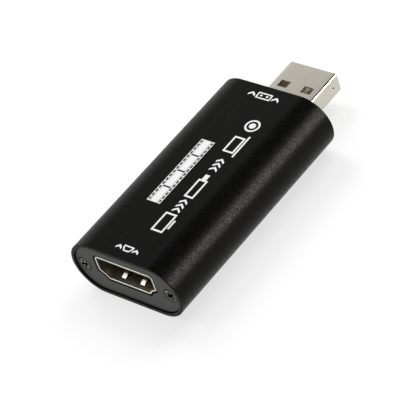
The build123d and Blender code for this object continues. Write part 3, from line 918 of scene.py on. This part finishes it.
output_mark_x = 0.35 * mm
output_mark_y = tube_high.y - 2.8 * mm
output_arrow_u = 0.55 * mm
output_arrow_v = 3.0 * mm
output_arrow_length = 0.7 * mm
output_arrow_width = 1.7 * mm
plug_sign_length = 1.75 * mm
plug_sign_width = 3.6 * mm
plug_sign_window_u = 0.05 * mm
plug_sign_window_v = 0.75 * mm
plug_sign_window_length = 0.45 * mm
plug_sign_window_width = 0.5 * mm
output_mark = Print(output_mark_x, output_mark_y)
for v in (-output_arrow_v, output_arrow_v):
    output_mark.arrow_head(output_arrow_u, v, output_arrow_length, output_arrow_width, bold_line)
for v in (-plug_sign_window_v, plug_sign_window_v):
    output_mark.bar(plug_sign_window_u, v, plug_sign_window_length, plug_sign_window_width)
output_mark.frame(0, 0, plug_sign_length, plug_sign_width, fine_line)
output_mark.printed("output_mark")

film_x = -2.7 * mm
film_y = tube_low.y + 24.4 * mm
film_length = 18.4 * mm
film_width = 3.4 * mm
film_edge = 0.16 * mm
film_hole = 0.42 * mm
film_holes = 16
film_pictures = 4
film_gap = 0.4 * mm
film_mark = Print(film_x, film_y)
hole_pitch = film_length / film_holes
picture_pitch = (film_length + film_gap) / film_pictures
picture_width = film_width - 4 * film_edge - 2 * film_hole - film_gap / 2
for side in (-1, 1):
    outer_rail = side * (film_width - film_edge) / 2
    inner_rail = side * (film_width / 2 - film_hole - 1.5 * film_edge)
    film_mark.bar(0, outer_rail, film_length, film_edge)
    film_mark.bar(0, inner_rail, film_length, film_edge)
    for place in range(film_holes + 1):
        u = place * hole_pitch - film_length / 2
        u = min(max(u, film_edge - film_length / 2), film_length / 2 - film_edge)
        film_mark.bar(u, (outer_rail + inner_rail) / 2, 2 * film_edge, film_hole + film_edge)
for place in range(film_pictures):
    u = (place + 0.5) * picture_pitch - (film_length + film_gap) / 2
    film_mark.bar(u, 0, picture_pitch - film_gap, picture_width)
film_mark.printed("film_mark")

path_x = 3.4 * mm
path_y = tube_low.y + 25.5 * mm
screen_rise = 0.3 * mm
monitor_u = -14.1 * mm
monitor_length = 5.2 * mm
monitor_width = 2.9 * mm
monitor_foot_v = -1.6 * mm
monitor_foot_length = 2.4 * mm
first_arrows_u = -9.7 * mm
second_arrows_u = 2.5 * mm
path_arrow_step = 1.2 * mm
path_arrow_length = 0.75 * mm
path_arrow_width = 1.9 * mm
stick_u = -4.1 * mm
stick_length = 5.2 * mm
stick_width = 2.3 * mm
stick_plug_u = -0.75 * mm
stick_plug_length = 1.5 * mm
stick_plug_width = 1.1 * mm
laptop_u = 9.1 * mm
laptop_length = 4.6 * mm
laptop_width = 2.7 * mm
laptop_base_v = -1.5 * mm
laptop_base_length = 6.2 * mm
record_u = 15.0 * mm
record_radius = 1.7 * mm
record_dot_radius = 0.75 * mm
path_mark = Print(path_x, path_y)
path_mark.frame(monitor_u, screen_rise, monitor_length, monitor_width, bold_line)
path_mark.bar(monitor_u, monitor_foot_v, monitor_foot_length, bold_line)
for start in (first_arrows_u, second_arrows_u):
    for step in range(3):
        u = start + step * path_arrow_step
        path_mark.arrow_head(u, 0, path_arrow_length, path_arrow_width, bold_line)
path_mark.frame(stick_u, 0, stick_length, stick_width, bold_line)
path_mark.bar(stick_plug_u, 0, stick_plug_length, stick_plug_width)
path_mark.frame(laptop_u, screen_rise, laptop_length, laptop_width, bold_line)
path_mark.bar(laptop_u, laptop_base_v, laptop_base_length, bold_line)
path_mark.outline(bold_line, *circle_of(record_u, 0, record_radius, steps=32))
path_mark.patch(*circle_of(record_u, 0, record_dot_radius, steps=24))
path_mark.printed("path_mark")

# Floor
# A plain white table top. It shows as plain white to the eye and in reflections, and
# still darkens where the part keeps light off it.
floor_half = 4.0


def on_rays(finish, *kinds):
    """One on rays of any of these kinds and zero on all others."""
    shares = [finish.add("ShaderNodeLightPath", {}, {}, f"Is {kind} Ray") for kind in kinds]
    return sum(shares[1:], shares[0])


floor_mesh = bmesh.new()
bmesh.ops.create_grid(floor_mesh, x_segments=1, y_segments=1, size=floor_half)
floor = bpy.data.objects.new("floor", bpy.data.meshes.new("floor"))
floor_mesh.to_mesh(floor.data)
floor_mesh.free()
bpy.context.scene.collection.objects.link(floor)

white = Finish("white_floor")
direct = on_rays(white, "Camera")
mirrored = on_rays(white, "Glossy", "Transmission")
lit = white.add("ShaderNodeBsdfDiffuse", {}, {"Color": grey(0.95)})
glow_level = 0.88 + 0.12 * direct
glow = white.add("ShaderNodeEmission", {}, {"Color": grey(1.0), "Strength": glow_level})
glow_share = 0.7 * direct + 0.93 * mirrored
top = white.add("ShaderNodeMixShader", {}, {0: glow_share, 1: lit, 2: glow})
white.add("ShaderNodeOutputMaterial", {}, {"Surface": top})
floor.data.materials.append(white.owner)

# Light
# A white room with a pale panel in its dark ceiling and a dark curtain on the right,
# its matt surfaces evenly lit. A key lamp stands behind the part and a fill lamp on its
# left, and two soft boxes, at the front left and before the curtain, give the shine.
studio = Finish("studio", "worlds")
bpy.context.scene.world = studio.owner
direction = studio.add("ShaderNodeTexCoord", {}, {}, "Generated")
rightwards = studio.add("ShaderNodeSeparateXYZ", {}, {0: direction}, "X")
upwards = studio.add("ShaderNodeSeparateXYZ", {}, {0: direction}, "Z")


def faded(share, low, high, first, last):
    """A level that goes smoothly from first to last while share goes from low to high."""
    inputs = {0: share, 1: low, 2: high, 3: first, 4: last}
    return studio.add("ShaderNodeMapRange", {"interpolation_type": "SMOOTHSTEP"}, inputs)


curtain = faded(rightwards, low=0.35, high=0.6, first=0.0, last=0.9)
panel = faded(upwards, low=0.95, high=0.98, first=0.0, last=0.6)
walls = faded(upwards, low=0.55, high=0.75, first=1.0, last=0.02)
seen_level = walls * (1 - curtain) + panel
seen = on_rays(studio, "Camera", "Glossy", "Transmission") > 0.5
even_level = 0.30
level = seen * seen_level + (1 - seen) * even_level
backdrop = studio.add("ShaderNodeBackground", {}, {"Color": grey(1.0), "Strength": level})
studio.add("ShaderNodeOutputWorld", {}, {"Surface": backdrop})

lamp_distance = 0.8


def soft_lamp(name, direction, width, height, power, in_gloss=True, in_matt=True):
    """A soft rectangular lamp in that direction from the part, facing it.

    It can be left out of the reflections in gloss or of the light on matt surfaces.
    """
    lamp = bpy.data.objects.new(name, bpy.data.lights.new(name, "AREA"))
    lamp.data.shape = "RECTANGLE"
    lamp.data.size = width
    lamp.data.size_y = height
    lamp.data.energy = power
    direction = Vector(direction).normalized()
    facing = direction.to_track_quat("Z", "Y").to_matrix().to_4x4()
    lamp.matrix_world = Matrix.Translation(direction * lamp_distance) @ facing
    lamp.visible_glossy = in_gloss
    lamp.visible_diffuse = in_matt
    bpy.context.scene.collection.objects.link(lamp)


soft_lamp("key_lamp", (0.0, 0.66, 0.75), width=0.45, height=0.45, power=3.4, in_gloss=False)
soft_lamp("front_box", (-0.60, -0.35, 0.72), width=0.30, height=0.30, power=1.1)
soft_lamp("side_box", (0.75, 0.50, 0.43), width=0.40, height=0.38, power=6.2, in_matt=False)
soft_lamp("fill_lamp", (-0.64, 0.26, 0.72), width=0.40, height=0.40, power=3.9, in_gloss=False)

bpy.context.scene.view_settings.view_transform = "Standard"
